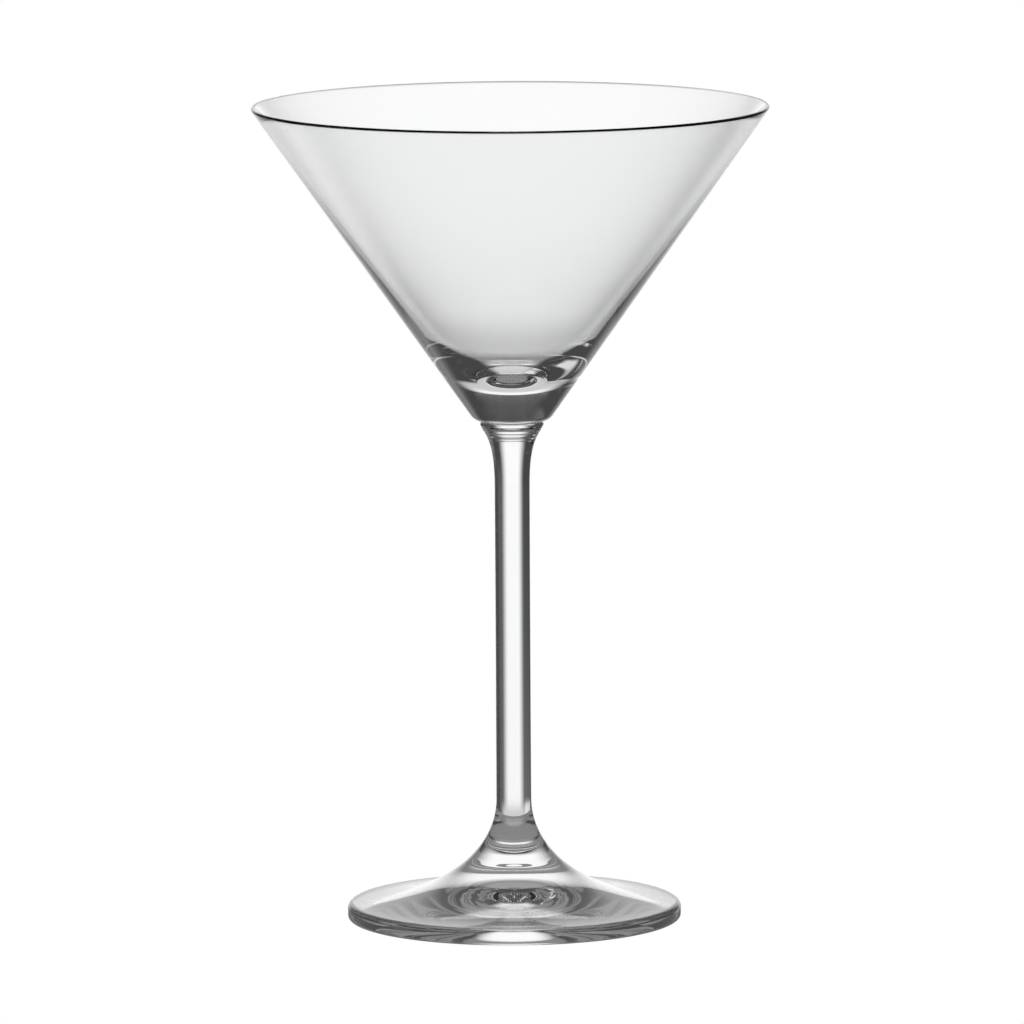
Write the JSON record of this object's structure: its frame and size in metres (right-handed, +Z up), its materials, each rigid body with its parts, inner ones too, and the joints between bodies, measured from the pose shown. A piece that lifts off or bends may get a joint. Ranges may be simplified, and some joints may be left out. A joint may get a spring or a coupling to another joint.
{
  "type": "martini glass",
  "caption": "Stemmed cocktail glass: a wide cone bowl with a thick base, on a slim stem with a flared head and a round foot that sweeps up into the stem.",
  "frame": {"origin": "centre of the ring that the foot stands on", "axes": "+Z up along the glass's own axis; the glass is turned about +Z, so +X and +Y are alike"},
  "size_m": [0.1134, 0.1134, 0.18],
  "materials": {
    "clear_glass": "clear, fire-polished, very smooth"
  },
  "bodies": {
    "root": {"bowl": "clear_glass", "stem": "clear_glass", "foot": "clear_glass"}
  },
  "joints": []
}
